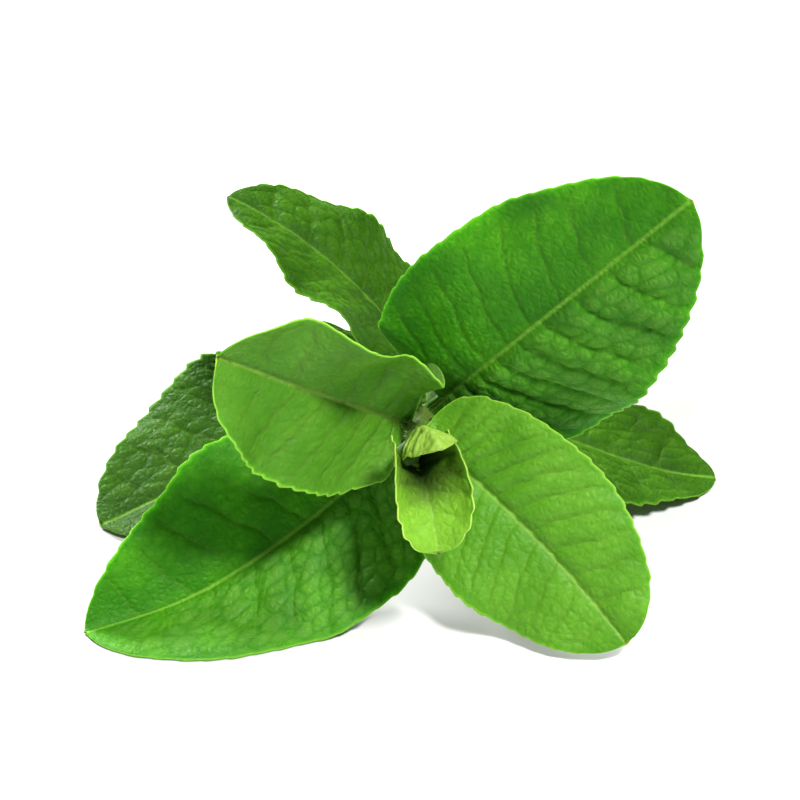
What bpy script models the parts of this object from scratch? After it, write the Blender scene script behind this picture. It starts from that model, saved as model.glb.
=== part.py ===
"""A cut sprig of mint, lying on a table with its growing tip forward and its cut end at the back.

Run it with: blender --background --python part.py
Metres, +Z up. The origin is the middle of the sprig's footprint, on the table. The tip points along -Y.
Sizes below are in millimetres and angles in degrees, and they become metres when a mesh is made.
"""

import math

import bmesh
import bpy
import numpy as np
from mathutils import Vector

METRES = 0.001

# ---------------------------------------------------------------- driving sizes
STEM_LENGTH = 70.6
AXIS_LENGTH = 78.0
STEM_WIDTH_CUT = 3.2
STEM_WIDTH_TIP = 1.9
STEM_PITCH_CUT = 23.0
STEM_PITCH_TIP = 6.0
STEM_NOD = 3.0
STEM_AZIMUTH_CUT = -88.0
STEM_AZIMUTH_TIP = -102.0
CUT_END = (5.35, 39.17, 1.785)

# How far along the stem, from the cut end, each pair of leaves grows.
NODE_AT = {"base": 20.0, "lower": 40.0, "middle": 60.0, "upper": 66.0, "young": 71.4, "inner": 72.4}
NODE_SWELL = 0.28
NODE_REACH = 2.6

BLADE_THICKNESS = 0.7
RIB_REACH = 1.1
STALK_WIDTH = 1.7
STALK_ROWS = 3
COLUMNS = 6
TOOTH_DEPTH = 0.8
GAP = 0.3
STEM_CORNER = 0.62
ROOT_IN_TIP = 0.35
TIP_CORE = (2.3, 5.0)
TABLE_EASE = 1.6
TABLE_SINK = 0.12
PRESSED = 0.35

PROFILE_POINTS = 16
STEM_SQUARE = 0.55
STEM_POINTS = 36
WELD = 0.002

LOOKS = {
    "stem_green": ((0.30, 0.26, 0.10), 0.55),
    "tip_green": ((0.30, 0.52, 0.06), 0.5),
    "young_green": ((0.17, 0.42, 0.03), 0.5),
    "leaf_green": ((0.06, 0.25, 0.015), 0.5),
    "old_green": ((0.09, 0.24, 0.035), 0.5),
}

# Outline of a flat mint leaf, in shares of its length and half its width.
VEIN_SLANT = 0.7
VEIN_CURVE = 1.25
TOOTH_LEAN = 0.76


def direction(azimuth, pitch):
    """Unit vectors for angles in degrees: azimuth from +X towards +Y, pitch above the table."""
    a, p = np.broadcast_arrays(np.radians(azimuth), np.radians(pitch))
    return np.stack([np.cos(p) * np.cos(a), np.cos(p) * np.sin(a), np.sin(p)], axis=-1)


def walk(start, headings, step):
    """Points reached by going step along each heading in turn, from start."""
    middles = (headings[1:] + headings[:-1]) / 2
    return np.vstack([start, start + np.cumsum(middles * step, axis=0)])


def blend(value):
    """0 to 1 with level ends."""
    t = np.clip(value, 0.0, 1.0)
    return t * t * (3 - 2 * t)


# ---------------------------------------------------------------- the stem's line
def stem_line(count=79):
    """(distances, points, headings) from the stem's cut end to the middle of its growing tip."""
    share = np.linspace(0, 1, count)
    pitch = STEM_PITCH_CUT + (STEM_PITCH_TIP - STEM_PITCH_CUT) * share**STEM_NOD
    azimuth = STEM_AZIMUTH_CUT + (STEM_AZIMUTH_TIP - STEM_AZIMUTH_CUT) * share
    headings = direction(azimuth, pitch)
    points = walk(np.array(CUT_END), headings, AXIS_LENGTH / (count - 1))
    return share * AXIS_LENGTH, points, headings


def stem_at(distance):
    """The stem's centre and heading at a distance from its cut end."""
    along, points, headings = stem_line()
    at = np.array([np.interp(distance, along, points[:, k]) for k in range(3)])
    heading = np.array([np.interp(distance, along, headings[:, k]) for k in range(3)])
    return at, heading / np.linalg.norm(heading)


def stem_width(distance):
    """Width across the flats, with a swelling at each pair of leaves."""
    share = np.clip(np.asarray(distance) / STEM_LENGTH, 0, 1)
    width = STEM_WIDTH_CUT + (STEM_WIDTH_TIP - STEM_WIDTH_CUT) * share
    for pair in ("base", "lower", "middle", "upper"):
        swell = np.exp(-(((distance - NODE_AT[pair]) / NODE_REACH) ** 2))
        width = width * (1 + NODE_SWELL * swell)
    return width


# ---------------------------------------------------------------- a leaf's surface
class Leaf:
    """One leaf: where it grows, how its midrib runs and how its blade is folded.

    azimuth and pitch are the midrib's heading where it leaves the stem, turn and droop how much
    they change by the tip. roll tilts the blade about the midrib, with its right side up, and
    twist is what is added by the tip. fold is each half's slope at the midrib and curl what is
    added by the margin, both positive upwards, as (left, right) or (left, right at the base,
    left, right at the tip).
    """

    def __init__(self, name, node, length, width, azimuth, pitch, turn=0.0, droop=0.0, roll=0.0,
                 twist=0.0, fold=(12.0, 12.0), curl=(0.0, 0.0), stalk=3.5, teeth=15, wave=1.0,
                 waves=2.5, phase=0.0, bend_late=1.3, stalk_turn=0.0, stalk_droop=0.0, blunt=0.62,
                 rise=0.35, rib=1.5, sunk=False, look="leaf_green"):
        self.name, self.node, self.length, self.width = name, node, length, width
        self.azimuth, self.pitch, self.turn, self.droop = azimuth, pitch, turn, droop
        self.roll, self.twist, self.stalk, self.teeth = roll, twist, stalk, teeth
        self.fold, self.curl = (tuple(pair) * 2 if len(pair) == 2 else pair for pair in (fold, curl))
        self.wave, self.waves, self.phase, self.bend_late = wave, waves, phase, bend_late
        self.stalk_turn, self.stalk_droop, self.blunt = stalk_turn, stalk_droop, blunt
        self.rise, self.rib, self.sunk, self.look = rise, rib, sunk, look

    def root(self):
        """Where the stalk starts: clear of the stem by the gap, or inside the growing tip."""
        centre, heading = stem_at(NODE_AT[self.node])
        out = direction(self.azimuth + self.stalk_turn, self.pitch + self.stalk_droop)
        out = out - heading * (out @ heading)
        out = out / np.linalg.norm(out)
        clear = ROOT_IN_TIP if self.sunk else stem_width(NODE_AT[self.node]) * STEM_CORNER + GAP
        return centre + out * clear

    def midrib(self, count=61):
        """(distances, points, headings, sides, normals) along stalk and midrib."""
        total = self.stalk + self.length
        distances = np.linspace(0, total, count)
        bent = np.clip((distances - self.stalk) / self.length, 0, 1) ** self.bend_late
        young = 1 - blend(distances / (self.stalk * 2 + 1e-6))
        azimuth = self.azimuth + self.turn * bent + self.stalk_turn * young
        pitch = self.pitch + self.droop * bent + self.stalk_droop * young
        headings = direction(azimuth, pitch)
        points = walk(self.root(), headings, total / (count - 1))
        level = direction(azimuth - 90, 0)
        up = np.cross(level, headings)
        tilt = np.radians(self.roll + self.twist * bent)[:, None]
        sides = level * np.cos(tilt) + up * np.sin(tilt)
        normals = up * np.cos(tilt) - level * np.sin(tilt)
        return distances, points, headings, sides, normals

    def half_width(self, along):
        """Half the blade's width without teeth, at shares of the blade's length."""
        top = self.rise / (self.rise + self.blunt)
        widest = top**self.rise * (1 - top) ** self.blunt
        along = np.clip(along, 0, 1)
        return self.width / 2 * along**self.rise * (1 - along) ** self.blunt / widest

    def rows(self):
        """Where each row of the blade's grid meets the margin: a notch and a tip for each tooth."""
        notches = np.arange(self.teeth) / self.teeth
        tips = (np.arange(self.teeth) + TOOTH_LEAN) / self.teeth
        return np.append(np.stack([notches, tips], axis=1).ravel(), 1.0)

    def flat(self, margin, across):
        """(along, aside) in mm on the flat leaf. margin is where the row ends, as a share of the
        length, and across the place on the row from -1, the left margin, to 1, the right one.
        Rows run outwards and forwards, as the side veins do."""
        half = self.half_width(margin)
        start = margin * (1 - VEIN_SLANT * (1 - margin))
        out = np.abs(across)
        along = start + (margin - start) * out**VEIN_CURVE
        return along * self.length, across * half

    def at_side(self, pairs, share, right):
        """A value given as (left, right at the base, left, right at the tip), in radians. It is
        less on the stalk and at its end, where the blade is still narrow."""
        base = np.where(right, pairs[1], pairs[0])
        tip = np.where(right, pairs[3], pairs[2])
        opened = 0.3 + 0.7 * blend(share / 0.1)
        return np.radians(base + (tip - base) * blend(share)) * opened

    def place(self, along, aside):
        """Points in space for places on the flat leaf, bent, folded and laid on the table."""
        distances, points, _, sides, normals = self.midrib()
        at = self.stalk + along
        point, side, normal = (
            np.stack([np.interp(at, distances, rows[:, k]) for k in range(3)], axis=-1)
            for rows in (points, sides, normals)
        )
        out, right, share = np.abs(aside), aside >= 0, along / self.length
        first = self.at_side(self.fold, share, right)
        rate = self.at_side(self.curl, share, right) / (self.width / 2)
        rate = np.where(np.abs(rate) < 1e-5, 1e-5, rate)
        reach = (np.sin(first + rate * out) - np.sin(first)) / rate
        rise = (np.cos(first) - np.cos(first + rate * out)) / rate
        swing = 2 * math.pi * (self.waves * share + self.phase) + np.where(right, 0.0, 2.1)
        rise = rise + self.wave * np.sin(swing) * (out / (self.width / 2)) ** 2
        placed = point + side * (np.sign(aside) * reach)[..., None] + normal * rise[..., None]
        above = placed[..., 2] - BLADE_THICKNESS / 2
        eased = (above + np.sqrt(above**2 + TABLE_EASE**2)) / 2 - TABLE_SINK
        placed[..., 2] = np.maximum(eased, 0.0) + BLADE_THICKNESS / 2
        return placed


YOUNG_LEAVES = [
    Leaf("young_front", "young", 18.5, 15, azimuth=-80, pitch=-4, droop=-56, fold=(34, 34, 16, 16),
         curl=(44, 44, 22, 22), stalk=1.6, teeth=8, wave=0.2, rise=0.55, rib=0.9, sunk=True),
    Leaf("young_back", "young", 12, 11, azimuth=-68, pitch=66, droop=-84, roll=180,
         fold=(24, 24), curl=(44, 44), stalk=1.6, teeth=7, wave=0.2, rise=0.6, rib=0.9, sunk=True),
    Leaf("inner_left", "inner", 6.5, 4.2, azimuth=-122, pitch=2, turn=16, roll=90,
         fold=(16, 16), curl=(24, 24), stalk=1.2, teeth=4, wave=0, rise=0.8, rib=0.7, sunk=True),
    Leaf("inner_right", "inner", 6, 4.2, azimuth=-56, pitch=2, turn=-16, roll=-90,
         fold=(16, 16), curl=(24, 24), stalk=1.2, teeth=4, wave=0, rise=0.8, rib=0.7, sunk=True),
]

LEAVES = [
    Leaf("upper_leaf_left", "upper", 37, 28, azimuth=212, pitch=36, droop=2, roll=58,
         fold=(-24, 42, -8, 52), curl=(10, 24), rib=0.9, stalk=1.5, teeth=11, wave=0.5, blunt=0.5,
         rise=0.3, look="young_green"),
    Leaf("upper_leaf_right", "upper", 41, 28, azimuth=-38, pitch=-21, droop=-20, roll=-54,
         fold=(16, 24, 4, 8), curl=(-18, -12), stalk=1.0, teeth=13, wave=0.8, blunt=0.5,
         look="young_green"),
    Leaf("middle_leaf_right", "middle", 56, 37, azimuth=-30, pitch=51, turn=14, droop=-2, roll=-88,
         fold=(23, -18, -8, 12), curl=(-8, -10), stalk=3.0, teeth=14, wave=1.0, blunt=0.58,
         rise=0.27),
    Leaf("middle_leaf_left", "middle", 56.5, 36, azimuth=205, pitch=-38, droop=34, roll=20,
         fold=(-10, 8, 8, 8), curl=(-5, 8), stalk=3.0, teeth=15, wave=1.2, blunt=0.55),
    Leaf("lower_leaf_left", "lower", 38, 29, azimuth=160, pitch=50, droop=-34, roll=-6,
         fold=(12, 12), curl=(-8, -8), stalk=4.0, teeth=13, wave=1.2, look="old_green"),
    Leaf("lower_leaf_right", "lower", 42, 30, azimuth=-4, pitch=-27, droop=12, roll=0,
         fold=(14, 14), curl=(-10, -10), stalk=4.0, teeth=14, wave=1.2, look="old_green"),
    Leaf("base_leaf_left", "base", 57, 39, azimuth=214, pitch=-8, droop=0, roll=8,
         fold=(12, 12), curl=(-8, -8), stalk=5.0, teeth=15, wave=1.4, look="old_green"),
    Leaf("base_leaf_right", "base", 34, 26, azimuth=34, pitch=10, droop=-16, roll=0,
         fold=(12, 12), curl=(-8, -8), stalk=4.0, teeth=13, wave=1.4, look="old_green"),
]


# ---------------------------------------------------------------- building
def clear_scene():
    for item in list(bpy.data.objects):
        bpy.data.objects.remove(item, do_unlink=True)


def collection(name, hidden=False):
    made = bpy.data.collections.new(name)
    bpy.context.scene.collection.children.link(made)
    made.hide_render = hidden
    return made


def material(name, colour, roughness):
    made = bpy.data.materials.new(name)
    made.use_nodes = True
    shader = made.node_tree.nodes["Principled BSDF"]
    shader.inputs["Base Color"].default_value = (*colour, 1)
    shader.inputs["Roughness"].default_value = roughness
    shader.inputs["Metallic"].default_value = 0
    made.diffuse_color = (*colour, 1)
    return made


def add(mesh, name, where, look, at=(0, 0, 0)):
    made = bpy.data.objects.new(name, mesh)
    made.location = Vector(at) * METRES
    where.objects.link(made)
    mesh.materials.clear()
    mesh.materials.append(look)
    mesh.shade_smooth()
    return made


def leaf_grid(leaf):
    """A flat grid bent into the leaf: rows from the stalk to the tip, columns from margin to margin.
    Each corner's first weight is its thickness, as a share of the thickest. The root is returned
    too, and the mesh is placed from there."""
    margins = leaf.rows()
    across = np.linspace(-1, 1, COLUMNS + 1)
    stalk_rows = np.linspace(0, leaf.stalk, STALK_ROWS, endpoint=False)
    rows = len(stalk_rows) + len(margins)

    along, aside = np.empty((rows, COLUMNS + 1)), np.empty((rows, COLUMNS + 1))
    along[:STALK_ROWS] = (stalk_rows - leaf.stalk)[:, None]
    aside[:STALK_ROWS] = across * STALK_WIDTH / 2
    along[STALK_ROWS:], aside[STALK_ROWS:] = leaf.flat(margins[:, None], across[None, :])

    is_tip = np.zeros(rows)
    is_tip[STALK_ROWS + 1 : -1 : 2] = 1
    reach = np.abs(aside[:, -1:])
    tooth = TOOTH_DEPTH * np.clip(reach / 6, 0, 1) * is_tip[:, None] * np.abs(across) ** 4
    aside = aside + np.sign(across) * tooth
    narrow = np.clip(STALK_WIDTH / 2 - reach, 0, None) * (along < leaf.length / 2)
    aside = aside + across * narrow

    near_rib = np.exp(-((np.abs(aside) / RIB_REACH) ** 2)) * (1 - 0.7 * np.clip(along / leaf.length, 0, 1))
    thick = BLADE_THICKNESS + (leaf.rib - BLADE_THICKNESS) * near_rib

    points = leaf.place(along, aside)
    root = points[0, COLUMNS // 2].copy()
    flat = bmesh.new()
    weights = flat.verts.layers.deform.verify()
    bmesh.ops.create_grid(flat, x_segments=rows - 1, y_segments=COLUMNS, size=1)
    for vertex in flat.verts:
        row = round((vertex.co.x + 1) / 2 * (rows - 1))
        column = COLUMNS - round((vertex.co.y + 1) / 2 * COLUMNS)
        vertex.co = Vector((points[row, column] - root) * METRES)
        vertex[weights][0] = thick[row, column] / leaf.rib
    bmesh.ops.remove_doubles(flat, verts=flat.verts, dist=WELD * METRES)
    bmesh.ops.triangulate(flat, faces=flat.faces)
    mesh = bpy.data.meshes.new(leaf.name)
    flat.to_mesh(mesh)
    flat.free()
    return mesh, root


def build_leaf(leaf, where, look):
    """The blade and its stalk as one solid, thicker along the midrib."""
    mesh, root = leaf_grid(leaf)
    made = add(mesh, leaf.name, where, look, root)
    made.vertex_groups.new(name="thickness")
    shell = made.modifiers.new("Blade", "SOLIDIFY")
    shell.thickness = leaf.rib * METRES
    shell.offset = 0
    shell.vertex_group = "thickness"
    lie_down(made)
    return made


def lie_down(item):
    """Applies the modifiers and presses what is nearly on the table flat onto it."""
    mesh = solid_mesh(item)
    for vertex in mesh.vertices:
        height = vertex.co.z + item.location.z
        if height < PRESSED * METRES:
            vertex.co.z = -item.location.z
    item.modifiers.clear()
    item.data = mesh


def solid_mesh(item):
    """The object's mesh with its modifiers applied, its loose caps welded."""
    graph = bpy.context.evaluated_depsgraph_get()
    graph.update()
    mesh = bpy.data.meshes.new_from_object(item.evaluated_get(graph))
    welded = bmesh.new()
    welded.from_mesh(mesh)
    bmesh.ops.remove_doubles(welded, verts=welded.verts, dist=WELD * METRES)
    bmesh.ops.recalc_face_normals(welded, faces=welded.faces)
    welded.to_mesh(mesh)
    welded.free()
    return mesh


def build_stem(where, helpers, look):
    """A square stem with rounded corners, swollen where each pair of leaves grows."""
    profile = bpy.data.curves.new("stem_profile", "CURVE")
    corner = profile.splines.new("POLY")
    corners = PROFILE_POINTS
    corner.points.add(corners - 1)
    for index in range(corners):
        angle = 2 * math.pi * index / corners
        reach = 0.5 / max(abs(math.cos(angle)), abs(math.sin(angle))) ** STEM_SQUARE
        corner.points[index].co = (reach * math.cos(angle), reach * math.sin(angle), 0, 1)
    corner.use_cyclic_u = True
    outline = bpy.data.objects.new("stem_profile", profile)
    outline.display_type = "WIRE"
    outline.hide_render = True
    helpers.objects.link(outline)

    along, points, _ = stem_line()
    wanted = np.linspace(0, STEM_LENGTH, STEM_POINTS)
    line = bpy.data.curves.new("stem", "CURVE")
    line.dimensions = "3D"
    line.bevel_mode = "OBJECT"
    line.bevel_object = outline
    line.use_fill_caps = True
    spline = line.splines.new("POLY")
    spline.points.add(len(wanted) - 1)
    for point, distance in zip(spline.points, wanted):
        place = [np.interp(distance, along, points[:, k]) * METRES for k in range(3)]
        point.co = (*place, 1)
        point.radius = stem_width(distance) * METRES
        point.tilt = math.radians(45)
    guide = bpy.data.objects.new("stem_line", line)
    helpers.objects.link(guide)
    mesh = solid_mesh(guide)
    bpy.data.objects.remove(guide, do_unlink=True)
    bpy.data.objects.remove(outline, do_unlink=True)
    return add(mesh, "stem", where, look)


def build_tip(where, look):
    """The growing tip: its core, the young pair round it and the small pair inside, as one body."""
    centre, heading = stem_at(NODE_AT["young"])
    width, length = TIP_CORE
    bpy.ops.mesh.primitive_uv_sphere_add(segments=12, ring_count=8, radius=0.5 * METRES)
    core = bpy.context.object
    core.name = "tip"
    core.scale = (width, width, length)
    core.rotation_euler = Vector(heading).to_track_quat("Z", "Y").to_euler()
    start = stem_at(STEM_LENGTH)[0] + heading * GAP
    core.location = Vector(start + heading * length / 2) * METRES
    bpy.ops.object.transform_apply(location=False, rotation=True, scale=True)
    for owner in list(core.users_collection):
        owner.objects.unlink(core)
    where.objects.link(core)
    core.data.name = "tip"
    core.data.materials.append(look)
    core.data.shade_smooth()

    petals = collection("young_leaves", hidden=True)
    for leaf in YOUNG_LEAVES:
        build_leaf(leaf, petals, look)
    union = core.modifiers.new("Union", "BOOLEAN")
    union.solver = "MANIFOLD"
    union.operation = "UNION"
    union.operand_type = "COLLECTION"
    union.collection = petals
    mesh = solid_mesh(core)
    core.modifiers.clear()
    core.data = mesh
    mesh.name = "tip"
    for item in list(petals.objects):
        bpy.data.objects.remove(item, do_unlink=True)
    bpy.data.collections.remove(petals)
    return core


def main():
    clear_scene()
    sprig = collection("mint_sprig")
    helpers = collection("helpers", hidden=True)
    looks = {name: material(name, *look) for name, look in LOOKS.items()}
    build_stem(sprig, helpers, looks["stem_green"])
    build_tip(sprig, looks["tip_green"])
    for leaf in LEAVES:
        build_leaf(leaf, sprig, looks[leaf.look])


main()
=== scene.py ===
import math

import bpy
import numpy as np
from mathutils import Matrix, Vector, noise


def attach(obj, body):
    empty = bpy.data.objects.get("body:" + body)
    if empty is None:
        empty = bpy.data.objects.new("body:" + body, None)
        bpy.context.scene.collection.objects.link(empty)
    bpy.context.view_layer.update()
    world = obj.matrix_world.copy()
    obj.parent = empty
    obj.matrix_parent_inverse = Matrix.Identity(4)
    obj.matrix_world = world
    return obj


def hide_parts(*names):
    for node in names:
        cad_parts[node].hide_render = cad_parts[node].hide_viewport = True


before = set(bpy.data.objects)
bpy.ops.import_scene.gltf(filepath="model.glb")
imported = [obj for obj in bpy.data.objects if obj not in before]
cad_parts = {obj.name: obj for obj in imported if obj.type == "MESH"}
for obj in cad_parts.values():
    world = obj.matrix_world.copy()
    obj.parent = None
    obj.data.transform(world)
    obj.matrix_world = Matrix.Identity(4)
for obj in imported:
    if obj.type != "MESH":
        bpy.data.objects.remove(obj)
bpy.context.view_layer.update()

bpy.ops.object.select_all(action="DESELECT")

# ---------------------------------------------------------------- the stem
# A fresh mint stem, cut with a knife: square with rounded corners, a shallow groove down each
# side, and swollen where each pair of leaves grows. It is green with a purple-brown flush.
MM = 0.001
STEM_LENGTH = 70.6
AXIS_LENGTH = 78.0
STEM_WIDTH_CUT = 3.2
STEM_WIDTH_TIP = 1.9
STEM_PITCH_CUT = 23.0
STEM_PITCH_TIP = 6.0
STEM_NOD = 3.0
STEM_AZIMUTH_CUT = -88.0
STEM_AZIMUTH_TIP = -102.0
CUT_END = (5.35, 39.17, 1.785)
NODE_AT = {"base": 20.0, "lower": 40.0, "middle": 60.0, "upper": 66.0,
           "young": 71.4, "inner": 72.4}
LEAF_PAIRS = ("base", "lower", "middle", "upper")
NODE_SWELL = 0.28
NODE_REACH = 2.6
STEM_SQUARE = 0.55
STEM_GROOVE = 0.09
GROOVE_SPREAD = 0.3
SCAR_HEIGHT = 0.05
SCAR_SPREAD = 0.45
STEM_SIDES = 48
STEM_RINGS = 260
STEM_INTO_TIP = 2.2
STEM_OFF_TABLE = 0.02
CUT_STEPS = ((0.94, 0.0), (0.88, 0.10), (0.75, 0.12), (0.6, 0.04), (0.5, -0.05))
PITH_REACH = 0.42
PITH_DEPTH = 1.5
FLUSH_SPREAD = 2.2
STEM_GREEN = (0.06, 0.17, 0.012, 1)
STEM_LIGHT_GREEN = (0.10, 0.22, 0.02, 1)
STEM_PURPLE = (0.085, 0.045, 0.025, 1)
PITH_PALE = (0.50, 0.58, 0.27, 1)


def direction(azimuth, pitch):
    """Unit vectors for angles in degrees: azimuth from +X towards +Y, pitch above the table."""
    a, p = np.broadcast_arrays(np.radians(azimuth), np.radians(pitch))
    return np.stack([np.cos(p) * np.cos(a), np.cos(p) * np.sin(a), np.sin(p)], axis=-1)


def walk(start, headings, step):
    """Points reached by going step along each heading in turn, from start."""
    middles = (headings[1:] + headings[:-1]) / 2
    return np.vstack([start, start + np.cumsum(middles * step, axis=0)])


def blend(value):
    """0 to 1 with level ends."""
    t = np.clip(value, 0.0, 1.0)
    return t * t * (3 - 2 * t)


def unit(vectors):
    """The same directions at length 1."""
    return vectors / np.maximum(np.linalg.norm(vectors, axis=-1, keepdims=True), 1e-9)


def read_rows(at, distances, rows):
    """Rows of vectors read off at distances in between."""
    return np.stack([np.interp(at, distances, rows[:, k]) for k in range(3)], axis=-1)


def stem_line(count=79):
    """(distances, points, headings) from the stem's cut end to the middle of its growing tip."""
    share = np.linspace(0, 1, count)
    pitch = STEM_PITCH_CUT + (STEM_PITCH_TIP - STEM_PITCH_CUT) * share**STEM_NOD
    azimuth = STEM_AZIMUTH_CUT + (STEM_AZIMUTH_TIP - STEM_AZIMUTH_CUT) * share
    headings = direction(azimuth, pitch)
    points = walk(np.array(CUT_END), headings, AXIS_LENGTH / (count - 1))
    return share * AXIS_LENGTH, points, headings


def stem_at(distance):
    """The stem's centre and heading at distances from its cut end."""
    along, points, headings = stem_line()
    return read_rows(distance, along, points), unit(read_rows(distance, along, headings))


def stem_width(distance):
    """Width across the flats, with a swelling at each pair of leaves."""
    share = np.clip(np.asarray(distance) / STEM_LENGTH, 0, 1)
    width = STEM_WIDTH_CUT + (STEM_WIDTH_TIP - STEM_WIDTH_CUT) * share
    for pair in LEAF_PAIRS:
        swell = np.exp(-(((distance - NODE_AT[pair]) / NODE_REACH) ** 2))
        width = width * (1 + NODE_SWELL * swell)
    return width


def stem_surface(distance, angle):
    """Points on the stem's skin at distances from the cut end and angles round it."""
    centre, heading = stem_at(distance)
    side = unit(np.cross(heading, (0, 0, 1)))
    up = np.cross(side, heading)
    square = 0.5 / np.maximum(np.abs(np.cos(angle)), np.abs(np.sin(angle))) ** STEM_SQUARE
    from_flat = (angle + math.pi / 4) % (math.pi / 2) - math.pi / 4
    groove = STEM_GROOVE * np.exp(-((from_flat / GROOVE_SPREAD) ** 2))
    reach = (square - groove) * stem_width(distance)
    for pair in LEAF_PAIRS:
        scar = np.exp(-(((distance - NODE_AT[pair]) / SCAR_SPREAD) ** 2))
        reach = reach * (1 + SCAR_HEIGHT * scar)
    turned = angle + math.pi / 4
    outward = side * np.cos(turned)[:, None] + up * np.sin(turned)[:, None]
    return centre + outward * reach[:, None]


def corners_of(item):
    """The item's corners as rows of x, y, z."""
    flat = np.empty(len(item.data.vertices) * 3)
    item.data.vertices.foreach_get("co", flat)
    return flat.reshape(-1, 3)


def move_corners(item, places):
    """Moves the item's corners to the given places."""
    item.data.vertices.foreach_set("co", np.asarray(places, float).ravel())
    item.data.update()


def keep(item, name, values, kind="FLOAT"):
    """Keeps a value for each corner, for the material to read."""
    made = item.data.attributes.new(name, kind, "POINT")
    made.data.foreach_set("vector" if kind == "FLOAT_VECTOR" else "value", np.ravel(values))


bpy.ops.mesh.primitive_cylinder_add(vertices=STEM_SIDES, radius=1, depth=2, end_fill_type="NGON")
stem = bpy.context.object
stem.name = "mint_stem"
bpy.ops.object.mode_set(mode="EDIT")
bpy.ops.mesh.select_all(action="DESELECT")
bpy.ops.mesh.select_mode(type="EDGE")
bpy.ops.object.mode_set(mode="OBJECT")
for edge in stem.data.edges:
    ends = [stem.data.vertices[k].co.z for k in edge.vertices]
    edge.select = abs(ends[0] - ends[1]) > 1
bpy.ops.object.mode_set(mode="EDIT")
bpy.ops.mesh.subdivide(number_cuts=STEM_RINGS // 3)
bpy.ops.mesh.subdivide(number_cuts=2)
bpy.ops.object.mode_set(mode="OBJECT")
start = corners_of(stem)
stem_distance = (start[:, 2] + 1) / 2 * (STEM_LENGTH + STEM_INTO_TIP)
stem_angle = np.arctan2(start[:, 1], start[:, 0])
places = stem_surface(stem_distance, stem_angle)
places[:, 2] = np.maximum(places[:, 2], STEM_OFF_TABLE)
move_corners(stem, places * MM)
bpy.ops.object.mode_set(mode="EDIT")
bpy.ops.mesh.select_mode(type="FACE")
bpy.ops.mesh.select_all(action="SELECT")
bpy.ops.mesh.flip_normals()
bpy.ops.mesh.select_all(action="DESELECT")
bpy.ops.object.mode_set(mode="OBJECT")
for face in stem.data.polygons:
    face.select = len(face.vertices) > 4 and face.center.y > CUT_END[1] * MM / 2
bpy.ops.object.mode_set(mode="EDIT")
cut_middle = Vector(CUT_END) * MM
into_stem = Vector(direction(STEM_AZIMUTH_CUT, STEM_PITCH_CUT))
for shrink, sink in CUT_STEPS:
    bpy.ops.mesh.extrude_region()
    bpy.ops.transform.resize(value=(shrink,) * 3, center_override=cut_middle)
    bpy.ops.transform.translate(value=into_stem * sink * MM)
bpy.ops.mesh.poke()
bpy.ops.object.mode_set(mode="OBJECT")
bpy.ops.object.shade_smooth_by_angle(angle=math.radians(50))

found = corners_of(stem) / MM
line_at, line_points, line_headings = stem_line(400)
nearest = np.argmin(((found[:, None] - line_points[None]) ** 2).sum(-1), axis=1)
from_line = found - line_points[nearest]
stem_distance = line_at[nearest] + (from_line * line_headings[nearest]).sum(-1)
side = unit(np.cross(line_headings[nearest], (0, 0, 1)))
over = np.cross(side, line_headings[nearest])
stem_angle = np.arctan2((from_line * over).sum(-1), (from_line * side).sum(-1))
keep(stem, "along", stem_distance)
keep(stem, "round", stem_angle)
node_near = sum(np.exp(-(((stem_distance - at) / FLUSH_SPREAD) ** 2)) for at in NODE_AT.values())
keep(stem, "node", np.clip(node_near, 0, 1))
inside = np.linalg.norm(from_line, axis=1) < stem_width(stem_distance) * PITH_REACH
keep(stem, "pith", (inside & (stem_distance < PITH_DEPTH)).astype(float))


def material_for(item, name, roughness, subsurface=0.0, sheen=0.0):
    """A new material on the item. Returns its tree and its shader."""
    made = bpy.data.materials.new(name)
    made.use_nodes = True
    item.data.materials.clear()
    item.data.materials.append(made)
    shader = made.node_tree.nodes["Principled BSDF"]
    shader.inputs["Roughness"].default_value = roughness
    shader.inputs["Subsurface Weight"].default_value = subsurface
    shader.inputs["Subsurface Scale"].default_value = 0.001
    shader.inputs["Subsurface Radius"].default_value = (0.6, 1.0, 0.15)
    shader.inputs["Sheen Weight"].default_value = sheen
    shader.inputs["Sheen Roughness"].default_value = 0.4
    shader.inputs["IOR"].default_value = 1.42
    return made.node_tree, shader


def node(tree, kind, settings=None, **sockets):
    """A node with its settings and the values or links of its sockets, by name or by number."""
    made = tree.nodes.new(kind)
    for name, value in (settings or {}).items():
        setattr(made, name, value)
    for name, value in sockets.items():
        socket = made.inputs[int(name[1:]) if name[1:].isdigit() else name.replace("_", " ")]
        if isinstance(value, bpy.types.NodeSocket):
            tree.links.new(value, socket)
        else:
            socket.default_value = value
    return made


def attribute(tree, name, vector=False):
    """A value kept on the corners, as a single number or as a vector."""
    made = node(tree, "ShaderNodeAttribute", {"attribute_name": name})
    return made.outputs["Vector" if vector else "Fac"]


def mixed(tree, share, first, second):
    """Colour first going to colour second by share."""
    made = node(tree, "ShaderNodeMix", {"data_type": "RGBA"}, _0=share, _6=first, _7=second)
    return made.outputs[2]


def spread(tree, value, low, high, to_low=0.0, to_high=1.0):
    """A value between low and high spread over to_low and to_high, with soft ends."""
    settings = {"interpolation_type": "SMOOTHSTEP"}
    made = node(tree, "ShaderNodeMapRange", settings, Value=value, From_Min=low, From_Max=high,
                To_Min=to_low, To_Max=to_high)
    return made.outputs["Result"]


def maths(tree, operation, first, second=0.0):
    """The result of one sum on two values."""
    made = node(tree, "ShaderNodeMath", {"operation": operation}, _0=first, _1=second)
    return made.outputs[0]


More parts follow.
